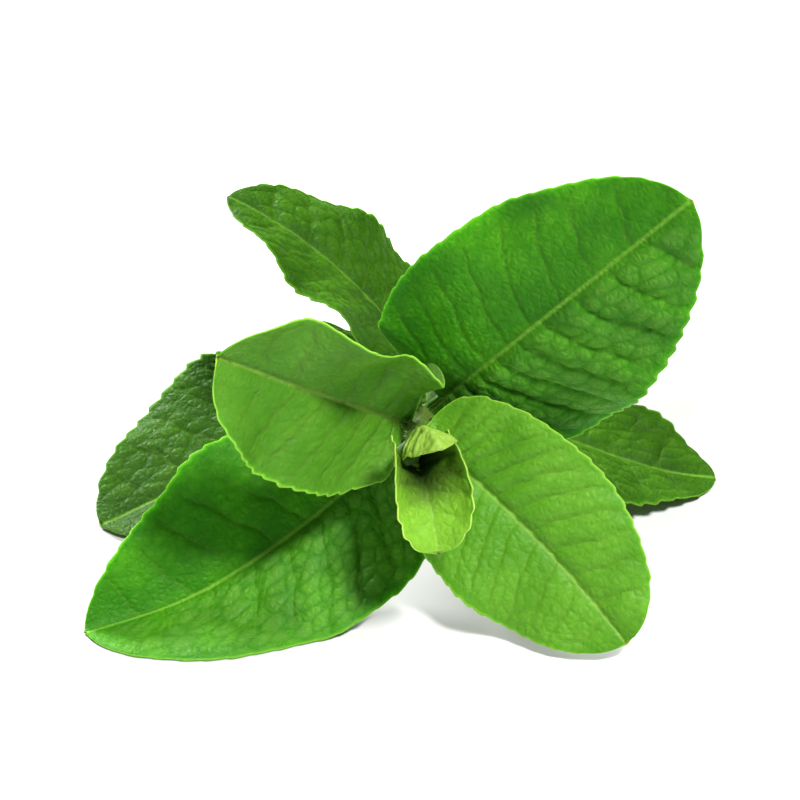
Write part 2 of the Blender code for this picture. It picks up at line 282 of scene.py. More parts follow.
tree, shader = material_for(stem, "stem_skin", 0.5, subsurface=0.2, sheen=0.03)
shader.inputs["Specular IOR Level"].default_value = 0.3
along, around = attribute(tree, "along"), attribute(tree, "round")
streak_at = node(tree, "ShaderNodeCombineXYZ", None, X=maths(tree, "MULTIPLY", along, 0.22),
                 Y=maths(tree, "SINE", around), Z=maths(tree, "COSINE", around)).outputs[0]
streaks = node(tree, "ShaderNodeTexNoise", None, Vector=streak_at, Scale=3.2, Detail=4.0)
flush = node(tree, "ShaderNodeTexNoise", None, Vector=streak_at, Scale=0.9, Detail=2.0)
skin = mixed(tree, spread(tree, streaks.outputs["Fac"], 0.35, 0.65), STEM_GREEN, STEM_LIGHT_GREEN)
purple = maths(tree, "ADD", spread(tree, flush.outputs["Fac"], 0.45, 0.70, 0.0, 0.4),
               maths(tree, "MULTIPLY", attribute(tree, "node"), 0.35))
skin = mixed(tree, purple, skin, STEM_PURPLE)
skin = mixed(tree, attribute(tree, "pith"), skin, PITH_PALE)
tree.links.new(skin, shader.inputs["Base Color"])
bump = node(tree, "ShaderNodeBump", None, Strength=0.4, Distance=0.0001,
            Height=streaks.outputs["Fac"])
tree.links.new(bump.outputs[0], shader.inputs["Normal"])
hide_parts("stem")
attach(stem, "root")

# ---------------------------------------------------------------- the down on the stem
# Short soft hairs, pale and leaning a little towards the tip, most of them along the corners of
# the square stem. Each one is a thin cone rooted in the skin.
HAIRS = 2600
HAIR_LENGTH = (0.30, 0.75)
HAIR_THICKNESS = 0.035
HAIR_ROOT = 0.05
HAIR_LEAN = 0.5
HAIR_FROM_CUT = 0.6
HAIR_FROM_TIP = 1.0
HAIR_SPREAD = 0.34
HAIR_STRAY = 0.25
HAIR_OFF_TABLE = 0.01
ROW_STEP = 2.0
DOWN_PALE = (0.30, 0.42, 0.14, 1)

bpy.ops.object.select_all(action="DESELECT")
bpy.ops.mesh.primitive_cone_add(vertices=3, radius1=0.5 * MM, radius2=0, depth=MM,
                                end_fill_type="NGON", location=(0, 0, 0))
down = bpy.context.object
down.name = "mint_stem_down"
row = down.modifiers.new("row", "ARRAY")
row.count = HAIRS
row.use_relative_offset = False
row.use_constant_offset = True
row.constant_offset_displace = (ROW_STEP * MM, 0, 0)
bpy.ops.object.modifier_apply(modifier="row")
cone = corners_of(down).reshape(HAIRS, -1, 3) / MM
cone = cone - np.arange(HAIRS)[:, None, None] * np.array([ROW_STEP, 0.0, 0.0])
draw = np.random.default_rng(21)
hair_at = draw.uniform(HAIR_FROM_CUT, STEM_LENGTH - HAIR_FROM_TIP, HAIRS)
corner = draw.integers(0, 4, HAIRS) * math.pi / 2 + math.pi / 4
hair_angle = corner + draw.normal(0, HAIR_SPREAD, HAIRS)
root = stem_surface(hair_at, hair_angle)
middle, heading = stem_at(hair_at)
sideways = draw.normal(0, HAIR_STRAY, (HAIRS, 3))
out = unit(root - middle + heading * HAIR_LEAN * stem_width(hair_at)[:, None] / 2 + sideways)
cross = unit(np.cross(out, heading))
third = np.cross(out, cross)
tall = draw.uniform(*HAIR_LENGTH, HAIRS)[:, None, None] * (cone[..., 2:] + 0.5) - HAIR_ROOT
wide = cone[..., :2] * 2 * HAIR_THICKNESS
places = root[:, None] + out[:, None] * tall + cross[:, None] * wide[..., :1]
places = places + third[:, None] * wide[..., 1:]
places[..., 2] = np.maximum(places[..., 2], HAIR_OFF_TABLE)
move_corners(down, places.reshape(-1, 3) * MM)
tree, shader = material_for(down, "down_hairs", 0.6)
shader.inputs["Base Color"].default_value = DOWN_PALE
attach(down, "root")

# ---------------------------------------------------------------- the oldest leaves
# The pair by the cut end, full grown and the darkest. Each leaf is one thin blade on a short
# stalk: toothed, puffed up between its sunken veins, with the midrib standing out below.
# The stalk, and how far from the stem's middle it starts.
STEM_CORNER = 0.62
GAP = 0.3
ROOT_IN_TIP = 0.35
STALK_WIDTH = 1.7
SUNK_STALK_WIDTH = 1.2
STALK_SINK = 1.6
STALK_ROWS = 18
SUNK_STALK_ROWS = 10
STALK_TROUGH = 0.30
STALK_BELLY = 0.55
STALK_FLOOR = 0.25
STALK_JOIN = 0.6
# How the blade bends, folds and sways.
BEND_LATE = 1.3
BASE_FOLD = 0.3
BASE_FOLD_SPAN = 0.1
HEEL_SPAN = 0.3
LEAST_CURL = 1e-5
MARGIN_WAVES = 2.5
LEFT_WAVE_SHIFT = 2.1
SWAY_NOISE = (0.11, 0.0)
JITTER_NOISE = (0.3, 50.0)
NOISE_STRETCH = 1.2
NOISE_STEP = 3.7
SWAY_HEIGHT = 0.9
# The side veins, and the midrib that tapers to the tip.
VEIN_SLANT = 0.7
VEIN_CURVE = 1.25
VEIN_WIDTH = 0.38
VEIN_DEPTH = 0.16
VEIN_STRAY = 0.14
VEIN_STRAY_SPAN = 0.15
VEIN_FADE_FROM = 0.72
VEIN_FADE_SPAN = 0.26
VEIN_SPACING = 0.8
VEIN_FAN = (0.3, 1.4)
LEFT_VEIN_SHIFT = 0.3
MIDRIB_WIDTH = 0.75
MIDRIB_NARROWING = 0.35
MIDRIB_DEPTH = 0.34
MIDRIB_RISE = 0.18
MIDRIB_SPREAD = 0.8
MIDRIB_THINNING = 0.8
MIDRIB_BODY = 0.8
# The puffs between the small veins, and where they lie flatter.
CELL = 2.4
CELL_JOG = 0.45
CELL_ROWS = (0.77, 0.27)
CELL_STARTS = (0.4, 0.9)
LATERAL_PITCH = 4.4
CREASE_WIDTH = 0.26
PUFF_WIDTH = 0.9
SWELL_ROUND = 0.9
PLAIN_BASE = 0.12
PLAIN_TIP = 0.1
BLADE_END = 1.02
BESIDE_MIDRIB = 2.2
EDGE_FROM = 0.86
EDGE_SPAN = 0.14
EDGE_FLATNESS = 0.75
RIDGE_AT_EDGE = 0.4
# The teeth.
TOOTH_LEAN = 0.76
TOOTH_SWELL = 0.8
TOOTH_DROP = 0.7
TOOTH_UNEVEN = (0.55, 1.25)
TOOTH_FADE = 7
TOOTH_FULL_AT = 6
# The blade's thickness, and how it rests on the table.
BLADE = 0.34
MARGIN = 0.2
THIN_FROM = 0.9
THIN_SPAN = 0.1
CAD_THICKNESS = 0.7
TABLE_EASE = 1.6
TABLE_SINK = 0.12
# Marks for the colouring: painted sheen on the puffs, pale rim, painted shade at the base and in
# the cup, and a pattern for each leaf.
QUILT_SHEEN = 1.6
RIDGE_SHEEN = 0.9
RIM_FROM = 0.97
RIM_SPAN = 0.03
# Painted shade on the stalk and the blade's base, and in the hollow of a young leaf's cup: where
# along the blade it fades out.
SHADE_AT_BASE = (0.0, 0.22)
SHADE_IN_CUP = (0.32, 0.72)
CUP_SHADE_EDGE_FADE = 0.85
STALK_LATERAL = 0.5
STALK_SPACING = 9.0
PATTERN_STEP = 9.0


class Leaf:
    """One leaf: where it grows, how its midrib runs and how its blade is folded.

    length, width and stalk are in mm. azimuth and pitch are the midrib's heading where it leaves
    the stem, turn and droop how much they change by the tip. roll tilts the blade about the
    midrib, with its right side up. fold is each half's slope at the midrib and curl what is added
    by the margin, both positive upwards, as (left, right) or (left, right at the base, left,
    right at the tip). wave is how far the margin sways, and rise and blunt how the blade fills
    out at its base and its tip. heel is how far back each half's base reaches, in mm. Each of
    bends leans one half further: whether it is the right one, where along the blade, over how
    much of it, and by how many degrees. quilt is how high each half puffs up between its small
    veins, ridge between its side veins, and tooth how deep its teeth are. laterals and teeth are
    how many of them a half has, and rib is how far the midrib stands out below. A sunk leaf
    starts inside the growing tip. rows, for each tooth, and columns are those of the mesh.
    """

    def __init__(self, name, pair, length, width, azimuth, pitch, turn=0.0, droop=0.0, roll=0.0,
                 fold=(12.0, 12.0), curl=(0.0, 0.0), stalk=3.5, teeth=15, wave=1.0, blunt=0.62,
                 rise=0.35, sunk=False, heel=(0.0, 0.0), bends=(), quilt=(0.3, 0.3),
                 ridge=(0.25, 0.25), laterals=10, tooth=(0.6, 0.6), rib=1.0, seed=1, rows=11,
                 columns=120):
        self.name, self.pair, self.length, self.width = name, pair, length, width
        self.azimuth, self.pitch, self.roll = azimuth, pitch, roll
        self.turn, self.droop = turn, droop
        self.fold, self.curl = (tuple(p) * 2 if len(p) == 2 else p for p in (fold, curl))
        self.stalk, self.teeth, self.wave, self.blunt, self.rise = stalk, teeth, wave, blunt, rise
        self.sunk, self.quilt, self.ridge, self.laterals = sunk, quilt, ridge, laterals
        self.heel, self.bends = heel, bends
        self.rib, self.seed, self.rows, self.columns, self.tooth = rib, seed, rows, columns, tooth

    def midrib(self, count=61):
        """(distances, points, headings, sides, normals) along stalk and midrib."""
        centre, stem_heading = stem_at(NODE_AT[self.pair])
        out = direction(self.azimuth, self.pitch)
        out = unit(out - stem_heading * (out @ stem_heading))
        clear = ROOT_IN_TIP if self.sunk else stem_width(NODE_AT[self.pair]) * STEM_CORNER + GAP
        total = self.stalk + self.length
        distances = np.linspace(0, total, count)
        bent = np.clip((distances - self.stalk) / self.length, 0, 1) ** BEND_LATE
        azimuth = self.azimuth + self.turn * bent
        pitch = self.pitch + self.droop * bent
        headings = direction(azimuth, pitch)
        points = walk(centre + out * clear, headings, total / (count - 1))
        level = direction(azimuth - 90, 0)
        up = np.cross(level, headings)
        tilt = math.radians(self.roll)
        sides = level * math.cos(tilt) + up * math.sin(tilt)
        normals = up * math.cos(tilt) - level * math.sin(tilt)
        if not self.sunk:
            distances = np.append(-clear, distances)
            points = np.vstack([centre, points])
            headings, sides, normals = (np.vstack([v[:1], v]) for v in (headings, sides, normals))
        return distances, points, headings, sides, normals

    def half_width(self, along):
        """Half the blade's width without teeth, at shares of the blade's length."""
        top = self.rise / (self.rise + self.blunt)
        widest = top**self.rise * (1 - top) ** self.blunt
        along = np.clip(along, 0, 1)
        return self.width / 2 * along**self.rise * (1 - along) ** self.blunt / widest

    def flat(self, margin, across):
        """(along, aside) in mm on the flat leaf. margin is where the row ends, as a share of the
        length, and across the place on the row from -1, the left margin, to 1, the right one.
        Rows run outwards and forwards, as the side veins do."""
        half = self.half_width(margin)
        start = margin * (1 - VEIN_SLANT * (1 - margin))
        out = np.abs(across)
        along = start + (margin - start) * out**VEIN_CURVE
        heel = np.where(across >= 0, self.heel[1], self.heel[0])
        heel = heel * out**2 * (1 - blend(margin / HEEL_SPAN))
        return along * self.length - heel, across * half

    def at_side(self, pairs, share, right):
        """A value given as (left, right at the base, left, right at the tip), in radians."""
        base = np.where(right, pairs[1], pairs[0])
        tip = np.where(right, pairs[3], pairs[2])
        opened = 1.0 if self.sunk else BASE_FOLD + (1 - BASE_FOLD) * blend(share / BASE_FOLD_SPAN)
        return np.radians(base + (tip - base) * blend(share)) * opened

    def place(self, along, aside, lift):
        """Points in space for places on the flat leaf, lifted off it by lift, then bent, folded
        and laid on the table."""
        distances, points, _, sides, normals = self.midrib()
        at = self.stalk + along
        point, side, normal = (read_rows(at, distances, rows) for rows in (points, sides, normals))
        out, right, share = np.abs(aside), aside >= 0, along / self.length
        first = self.at_side(self.fold, share, right)
        for on_right, where, reach_along, lean in self.bends:
            bump = np.exp(-(((share - where) / reach_along) ** 2))
            first = first + math.radians(lean) * bump * (right if on_right else ~right)
        rate = self.at_side(self.curl, share, right) / (self.width / 2)
        rate = np.where(np.abs(rate) < LEAST_CURL, LEAST_CURL, rate)
        slope = first + rate * out
        reach = (np.sin(slope) - np.sin(first)) / rate
        rise = (np.cos(first) - np.cos(slope)) / rate
        swing = 2 * math.pi * MARGIN_WAVES * share + np.where(right, 0.0, LEFT_WAVE_SHIFT)
        sway = self.wave * np.sin(swing) * (out / (self.width / 2)) ** 2
        rise = rise + sway + lift * np.cos(slope)
        reach = reach - lift * np.sin(slope)
        placed = point + side * (np.sign(aside) * reach)[..., None] + normal * rise[..., None]
        above = placed[..., 2] - CAD_THICKNESS / 2
        eased = (above + np.sqrt(above**2 + TABLE_EASE**2)) / 2 - TABLE_SINK
        placed[..., 2] = np.maximum(eased, 0.0) + BLADE / 2
        return placed

    def cells(self, margin, aside):
        """How far each place is from the nearest small vein, in mm. The veins part the blade into
        cells, two rows of them between each two side veins."""
        draw = np.random.default_rng(self.seed)
        where = np.stack([aside, margin * self.laterals * LATERAL_PITCH], axis=-1).reshape(-1, 2)
        reach = self.width / 2 + CELL
        middles = []
        for side in (-1, 1):
            for row in range(2 * self.laterals + 2):
                level = (row // 2 + CELL_ROWS[row % 2]) * LATERAL_PITCH - LATERAL_PITCH / 2
                for x in np.arange(CELL * CELL_STARTS[row % 2], reach, CELL):
                    jog = draw.uniform(-CELL_JOG, CELL_JOG, 2)
                    ahead = level + jog[1] * LATERAL_PITCH / 2
                    middles.append((side * (x + jog[0] * CELL), ahead))
        middles = np.array(middles)
        apart = np.linalg.norm(where[:, None] - middles[None], axis=2)
        two = np.partition(apart, 1, axis=1)[:, :2]
        return ((two[:, 1] - two[:, 0]) / 2).reshape(aside.shape)

    def grids(self):
        """Along, aside, lift and thickness for each corner of stalk and blade, and the marks that
        its material reads."""
        teeth_rows = (np.arange(self.teeth * self.rows) + 1) / (self.teeth * self.rows)
        stalk_rows = np.linspace(-self.stalk - STALK_SINK, 0, STALK_ROWS, endpoint=False)
        if self.sunk:
            stalk_rows = np.linspace(-self.stalk, 0, SUNK_STALK_ROWS, endpoint=False)
        across = np.linspace(-1, 1, self.columns + 1)
        margins = np.append(0.0, teeth_rows)
        along, aside = self.flat(margins[:, None], across[None, :])
        margin, across = np.broadcast_arrays(margins[:, None], across[None, :])
        out = np.abs(across)
        phase = (margin * self.teeth) % 1.0
        rising = (phase / TOOTH_LEAN) ** TOOTH_SWELL
        falling = 1 - blend((phase - TOOTH_LEAN) / (1 - TOOTH_LEAN)) ** TOOTH_DROP
        draw = np.random.default_rng(self.seed + 100)
        uneven = draw.uniform(*TOOTH_UNEVEN, (2, self.teeth + 1))
        depths = np.array(self.tooth)[:, None] * uneven
        which = np.floor(margin * self.teeth - 1e-9).clip(0).astype(int)
        depth = np.where(across >= 0, depths[1][which], depths[0][which])
        reach = np.abs(aside[:, -1:])
        outline = np.where(phase < TOOTH_LEAN, rising, falling)
        tooth = depth * np.clip(reach / TOOTH_FULL_AT, 0, 1) * outline
        tooth = tooth * out**TOOTH_FADE
        aside = aside + np.sign(across) * tooth
        narrow = np.clip(STALK_WIDTH / 2 - reach, 0, None) * (along < self.length / 2)
        aside = aside + across * narrow

        right = across >= 0
        drift, jitter = (np.array([
            noise.noise(Vector((a * rate, s * rate * NOISE_STRETCH,
                                self.seed * NOISE_STEP + shift)))
            for a, s in zip(along.ravel(), aside.ravel())
        ]).reshape(along.shape) for rate, shift in (SWAY_NOISE, JITTER_NOISE))
        lateral = margin * self.laterals + np.where(right, 0.0, LEFT_VEIN_SHIFT)
        lateral = lateral + VEIN_STRAY * jitter * blend(out / VEIN_STRAY_SPAN)
        frac = lateral - np.round(lateral)
        fan = (1 - out) * (VEIN_FAN[0] + VEIN_FAN[1] * margin) + out
        spacing = self.length / self.laterals * fan * VEIN_SPACING
        fade = 1 - blend((out - VEIN_FADE_FROM) / VEIN_FADE_SPAN)
        opened = blend(margin / PLAIN_BASE) * blend((BLADE_END - margin) / PLAIN_TIP)
        to_lateral = np.abs(frac) * spacing
        lateral_vein = np.exp(-((to_lateral / VEIN_WIDTH) ** 2)) * fade * opened
        midrib = np.exp(-((aside / (MIDRIB_WIDTH - MIDRIB_NARROWING * margin)) ** 2))
        crease = self.cells(margin, aside)
        pillow = 1 - (1 - np.clip(crease / PUFF_WIDTH, 0, 1)) ** 2
        quilt = np.where(right, self.quilt[1], self.quilt[0])
        ridge = np.where(right, self.ridge[1], self.ridge[0])
        away = blend(np.abs(aside) / BESIDE_MIDRIB)
        edge = 1 - blend((out - EDGE_FROM) / EDGE_SPAN) * EDGE_FLATNESS
        swell = np.abs(np.sin(np.pi * lateral)) ** SWELL_ROUND
        lift = quilt * pillow * away * edge * opened
        raised = RIDGE_AT_EDGE + (1 - RIDGE_AT_EDGE) * fade
        lift = lift + ridge * swell * away * edge * opened * raised
        lift = lift - VEIN_DEPTH * lateral_vein - (MIDRIB_DEPTH - MIDRIB_RISE * margin) * midrib
        lift = lift + drift * SWAY_HEIGHT * out * opened

        thinning = 1 - MIDRIB_THINNING * np.clip(along / self.length, 0, 1)
        body = np.exp(-((aside / MIDRIB_SPREAD) ** 2)) * thinning
        thick = BLADE + (MARGIN - BLADE) * blend((out - THIN_FROM) / THIN_SPAN)
        below = self.rib * body * MIDRIB_BODY + VEIN_DEPTH * lateral_vein

        count = self.columns + 1
        stalk_along = np.repeat(stalk_rows[:, None], count, axis=1)
        stalk_across = np.repeat(np.linspace(-1, 1, count)[None], len(stalk_rows), axis=0)
        stalk_half = (SUNK_STALK_WIDTH if self.sunk else STALK_WIDTH) / 2
        stalk_aside = stalk_across * stalk_half
        bow = np.sqrt(np.clip(1 - stalk_across**2, 0, 1))
        stalk_lift = STALK_TROUGH * stalk_across**2 - MIDRIB_DEPTH
        stalk_thick = BLADE * np.ones_like(bow)
        stalk_below = self.rib * (STALK_BELLY * bow + STALK_FLOOR)
        join = blend(np.clip(1 + stalk_along / (self.stalk * STALK_JOIN), 0, 1))
        first = {"lift": lift[:1], "thick": thick[:1], "below": below[:1]}
        stalk_lift = stalk_lift + (first["lift"] - stalk_lift) * join
        stalk_thick = stalk_thick + (first["thick"] - stalk_thick) * join
        stalk_below = stalk_below + (first["below"] - stalk_below) * join
        sheet = {
            "along": np.vstack([stalk_along, along]),
            "aside": np.vstack([stalk_aside, aside]),
            "lift": np.vstack([stalk_lift, lift]),
            "thick": np.vstack([stalk_thick, thick]),
            "below": np.vstack([stalk_below, below]),
        }
        blank = np.zeros_like(stalk_along)
        sheet["lateral"] = np.vstack([blank + STALK_LATERAL, lateral])
        sheet["spacing"] = np.vstack([blank + STALK_SPACING, spacing])
        sheet["fade"] = np.vstack([blank, fade * opened])
        # Painted shade: the creases between the puffs are marked to be darkened.
        crease = np.exp(-((crease / CREASE_WIDTH) ** 2)) * away * opened
        sheet["crease"] = np.vstack([blank, crease])
        # Painted sheen: the tops of the puffs and ridges are marked to be mixed towards a pale
        # green.
        puffed = quilt * pillow * QUILT_SHEEN + ridge * swell * RIDGE_SHEEN
        sheet["puff"] = np.vstack([blank, np.clip(puffed, 0, 1) * away * edge * opened])
        sheet["rim"] = np.vstack([blank, blend((out - RIM_FROM) / RIM_SPAN)])
        # Painted shade: the stalk and the blade's base are marked dark, and in a young leaf the
        # hollow of the cup, less towards its margins.
        shade_from, shade_to = SHADE_IN_CUP if self.sunk else SHADE_AT_BASE
        out_of_shade = (along / self.length - shade_from) / (shade_to - shade_from)
        cup_shade_at_edge = 1 - CUP_SHADE_EDGE_FADE * out**2 if self.sunk else 1.0
        sheet["stalk"] = np.vstack([blank + 1, (1 - blend(out_of_shade)) * cup_shade_at_edge])
        return sheet


def grow(leaf):
    """The leaf's blade and stalk: a grid given an upper and a lower skin, then bent into place."""
    sheet = leaf.grids()
    rows, columns = sheet["along"].shape
    bpy.ops.object.select_all(action="DESELECT")
    bpy.ops.mesh.primitive_grid_add(x_subdivisions=rows - 1, y_subdivisions=columns - 1, size=2)
    made = bpy.context.object
    made.name = "mint_" + leaf.name
    made.data.name = made.name
    shell = made.modifiers.new("Blade", "SOLIDIFY")
    shell.thickness = 0.5
    shell.offset = 0
    bpy.ops.object.modifier_apply(modifier=shell.name)
    start = corners_of(made)
    row = np.rint((start[:, 0] + 1) / 2 * (rows - 1)).astype(int)
    column = columns - 1 - np.rint((start[:, 1] + 1) / 2 * (columns - 1)).astype(int)
    top = start[:, 2] > 0

    middle = leaf.place(sheet["along"], sheet["aside"], sheet["lift"])
    ahead = np.gradient(middle, axis=0)
    rightwards = np.gradient(middle, axis=1)
    outward = unit(np.cross(rightwards, ahead))
    upper = middle + outward * (sheet["thick"] / 2)[..., None]
    lower = middle - outward * (sheet["thick"] / 2 + sheet["below"])[..., None]
    places = np.where(top[:, None], upper[row, column], lower[row, column])
    places[:, 2] = np.maximum(places[:, 2], 0.0)
    move_corners(made, places * MM)
    bpy.ops.object.shade_smooth()

    for mark in ("lateral", "spacing", "fade", "crease", "puff", "rim", "stalk"):
        keep(made, mark, sheet[mark][row, column])
    keep(made, "under", 1.0 - top)
    apart = 0 * sheet["along"] + leaf.seed * PATTERN_STEP
    flat = np.stack([sheet["aside"], sheet["along"], apart], axis=-1)
    keep(made, "flat", flat[row, column], "FLOAT_VECTOR")
    return made


# How dark the painted shade at a leaf's base goes, as a share of its deep green.
BASE_SHADE_DARKNESS = 0.12


def socket(group, name, kind, where="INPUT"):
    """A named input or output of a node group."""
    group.interface.new_socket(name=name, in_out=where, socket_type=kind)


# The leaf's colouring: mottled green with painted sheen on the puffs, painted shade in the
# creases, pale veins and rim, painted shade at the base, and the underside. Its height is the
# network of small creases.
colouring = bpy.data.node_groups.new("leaf_colouring", "ShaderNodeTree")
for name in ("Face", "Deep", "Vein", "Rim", "Under", "Painted Sheen"):
    socket(colouring, name, "NodeSocketColor")
for name in ("Vein Show", "Lateral Show", "Crease Shade Show", "Painted Sheen Show", "Base Shade Show"):
    socket(colouring, name, "NodeSocketFloat")
socket(colouring, "Colour", "NodeSocketColor", "OUTPUT")
socket(colouring, "Roughness", "NodeSocketFloat", "OUTPUT")
socket(colouring, "Height", "NodeSocketFloat", "OUTPUT")
given = colouring.nodes.new("NodeGroupInput").outputs
flat_at = attribute(colouring, "flat", vector=True)
broad = node(colouring, "ShaderNodeTexNoise", None, Vector=flat_at, Scale=0.13, Detail=3.0)
fine = node(colouring, "ShaderNodeTexNoise", None, Vector=flat_at, Scale=1.6, Detail=4.0)
network = node(colouring, "ShaderNodeTexVoronoi", {"feature": "DISTANCE_TO_EDGE"},
               Vector=flat_at, Scale=0.95)
mottle = spread(colouring, broad.outputs["Fac"], 0.32, 0.68)
tint = mixed(colouring, mottle, given["Face"], given["Deep"])
speckle = spread(colouring, fine.outputs["Fac"], 0.3, 0.7, 0.0, 0.45)
tint = mixed(colouring, speckle, tint, given["Deep"])
# Painted sheen: a pale green mixed in on the tops of the puffs, standing for the shine of the lit
# surface.
painted_sheen = maths(colouring, "MULTIPLY", attribute(colouring, "puff"), given["Painted Sheen Show"])
tint = mixed(colouring, painted_sheen, tint, given["Painted Sheen"])
# Painted shade: the creases along the small veins and the fine network between the puffs darkened
# towards the deep green.
small_crease = spread(colouring, network.outputs["Distance"], 0.0, 0.13, 1.0, 0.0)
crease = maths(colouring, "MAXIMUM", attribute(colouring, "crease"),
               maths(colouring, "MULTIPLY", small_crease, 0.6))
crease = maths(colouring, "MULTIPLY", crease, given["Crease Shade Show"])
tint = mixed(colouring, crease, tint, given["Deep"])
split = node(colouring, "ShaderNodeSeparateXYZ", None, Vector=flat_at)
to_midrib = maths(colouring, "ABSOLUTE", split.outputs["X"])
midrib = spread(colouring, to_midrib, 0.12, 0.55, 1.0, 0.0)
to_lateral = maths(colouring, "PINGPONG", attribute(colouring, "lateral"), 0.5)
to_lateral = maths(colouring, "MULTIPLY", to_lateral, attribute(colouring, "spacing"))
lateral = spread(colouring, to_lateral, 0.04, 0.30, 1.0, 0.0)
lateral = maths(colouring, "MULTIPLY", lateral, attribute(colouring, "fade"))
lateral = maths(colouring, "MULTIPLY", lateral, given["Lateral Show"])
midrib = maths(colouring, "MULTIPLY", midrib, given["Vein Show"])
vein = maths(colouring, "MAXIMUM", midrib, lateral)
tint = mixed(colouring, vein, tint, given["Vein"])
tint = mixed(colouring, attribute(colouring, "rim"), tint, given["Rim"])
# Painted shade: the stalk and the base of the blade, or the cup of a young leaf, darkened as far
# as Base Show says.
base = maths(colouring, "MULTIPLY", attribute(colouring, "stalk"), given["Base Shade Show"])
painted_base_shade = node(colouring, "ShaderNodeVectorMath", {"operation": "SCALE"}, _0=given["Deep"],
                 Scale=BASE_SHADE_DARKNESS).outputs[0]
tint = mixed(colouring, base, tint, painted_base_shade)
below = mixed(colouring, vein, given["Under"], given["Vein"])
tint = mixed(colouring, attribute(colouring, "under"), tint, below)
finish = colouring.nodes.new("NodeGroupOutput")
colouring.links.new(tint, finish.inputs["Colour"])
rough = spread(colouring, fine.outputs["Fac"], 0.3, 0.7, 0.46, 0.64)
colouring.links.new(rough, finish.inputs["Roughness"])
height = maths(colouring, "ADD", spread(colouring, network.outputs["Distance"], 0.0, 0.35),
               maths(colouring, "MULTIPLY", fine.outputs["Fac"], 0.5))
colouring.links.new(height, finish.inputs["Height"])


def leaf_skin(item, face, deep, vein, rim, under, painted_sheen=(0.25, 0.44, 0.09), vein_show=0.7,
              lateral_show=0.3, crease_shade_show=0.5, painted_sheen_show=0.22, base_shade_show=0.0, bump=0.5,
              gloss=0.25):
    """The leaf's own material, with its colours in the shared colouring."""
    tree, shader = material_for(item, item.name + "_skin", 0.5, subsurface=0.6)
    shader.inputs["Specular IOR Level"].default_value = gloss
    colours = tree.nodes.new("ShaderNodeGroup")
    colours.node_tree = colouring
    for name, value in (("Face", face), ("Deep", deep), ("Vein", vein), ("Rim", rim),
                        ("Under", under), ("Painted Sheen", painted_sheen)):
        colours.inputs[name].default_value = (*value, 1)
    colours.inputs["Vein Show"].default_value = vein_show
    colours.inputs["Lateral Show"].default_value = lateral_show
    colours.inputs["Crease Shade Show"].default_value = crease_shade_show
    colours.inputs["Painted Sheen Show"].default_value = painted_sheen_show
    colours.inputs["Base Shade Show"].default_value = base_shade_show
    tree.links.new(colours.outputs["Colour"], shader.inputs["Base Color"])
    tree.links.new(colours.outputs["Roughness"], shader.inputs["Roughness"])
    made = node(tree, "ShaderNodeBump", None, Strength=bump, Distance=0.00018,
                Height=colours.outputs["Height"])
    tree.links.new(made.outputs[0], shader.inputs["Normal"])


def settle(item, stands_for):
    """Puts the item in the place of its plain solid, on the one body."""
    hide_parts(stands_for)
    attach(item, "root")


OLD_LEAVES = [
    Leaf("base_leaf_left", "base", 57, 39, azimuth=214, pitch=-8, roll=8, fold=(12, 12),
         curl=(-8, -8), stalk=5.0, teeth=19, wave=1.4, seed=1, rows=9, columns=96),
    Leaf("base_leaf_right", "base", 34, 26, azimuth=34, pitch=10, droop=-16, fold=(12, 12),
         curl=(-8, -8), stalk=4.0, teeth=15, wave=1.4, laterals=7, seed=2, rows=9, columns=80),
]
OLD_LOOK = dict(face=(0.032, 0.105, 0.003), deep=(0.015, 0.06, 0.001), vein=(0.11, 0.25, 0.02),
                rim=(0.07, 0.19, 0.010), under=(0.07, 0.17, 0.015), lateral_show=0.15,
                painted_sheen=(0.07, 0.19, 0.010), painted_sheen_show=0.15, gloss=0.1)
for leaf in OLD_LEAVES:
    made = grow(leaf)
    leaf_skin(made, **OLD_LOOK)
    settle(made, leaf.name)

# ---------------------------------------------------------------- the lower pair
# Full-grown leaves half way up the stem. The left one stands up behind the young leaves and the
# right one hangs down to the table.
LOWER_LEAVES = [
    Leaf("lower_leaf_left", "lower", 38, 29, azimuth=160, pitch=50, droop=-34, roll=-6,
         fold=(12, 12), curl=(-8, -8), stalk=4.0, teeth=16, wave=1.2, laterals=8, seed=3,
         rows=10, columns=96),
    Leaf("lower_leaf_right", "lower", 42, 30, azimuth=-4, pitch=-27, droop=12, fold=(14, 14),
         curl=(-10, -10), stalk=4.0, teeth=17, wave=1.2, laterals=8, seed=4, rows=10,
         columns=96),
]
LOWER_LOOK = dict(face=(0.036, 0.125, 0.003), deep=(0.017, 0.07, 0.001), vein=(0.11, 0.26, 0.02),
                  rim=(0.08, 0.21, 0.010), under=(0.06, 0.17, 0.010), lateral_show=0.15,
                  painted_sheen=(0.08, 0.22, 0.010), painted_sheen_show=0.15, gloss=0.1)
for leaf in LOWER_LEAVES:
    made = grow(leaf)
    leaf_skin(made, **LOWER_LOOK)
    settle(made, leaf.name)

# ---------------------------------------------------------------- the middle pair
# The largest leaves, dark green. The right one stands on edge and faces forward, the left one
# reaches down to the table.
MIDDLE_LEAVES = [
    Leaf("middle_leaf_right", "middle", 56, 37, azimuth=-30, pitch=51, turn=14, droop=-2,
         roll=-88, fold=(23, -18, -8, 12), curl=(-8, -10), stalk=3.0, teeth=19, wave=1.0,
         blunt=0.58, rise=0.27, quilt=(0.06, 0.2), ridge=(0.08, 0.5), tooth=(0.25, 0.5),
         seed=5),
    Leaf("middle_leaf_left", "middle", 56.5, 36, azimuth=205, pitch=-38, droop=34, roll=20,
         fold=(-10, 20, 8, 42), curl=(-5, 8), stalk=3.0, teeth=18, wave=1.2, blunt=0.55,
         quilt=(0.26, 0.05), ridge=(0.34, 0.08), tooth=(0.25, 0.35), seed=6),
]
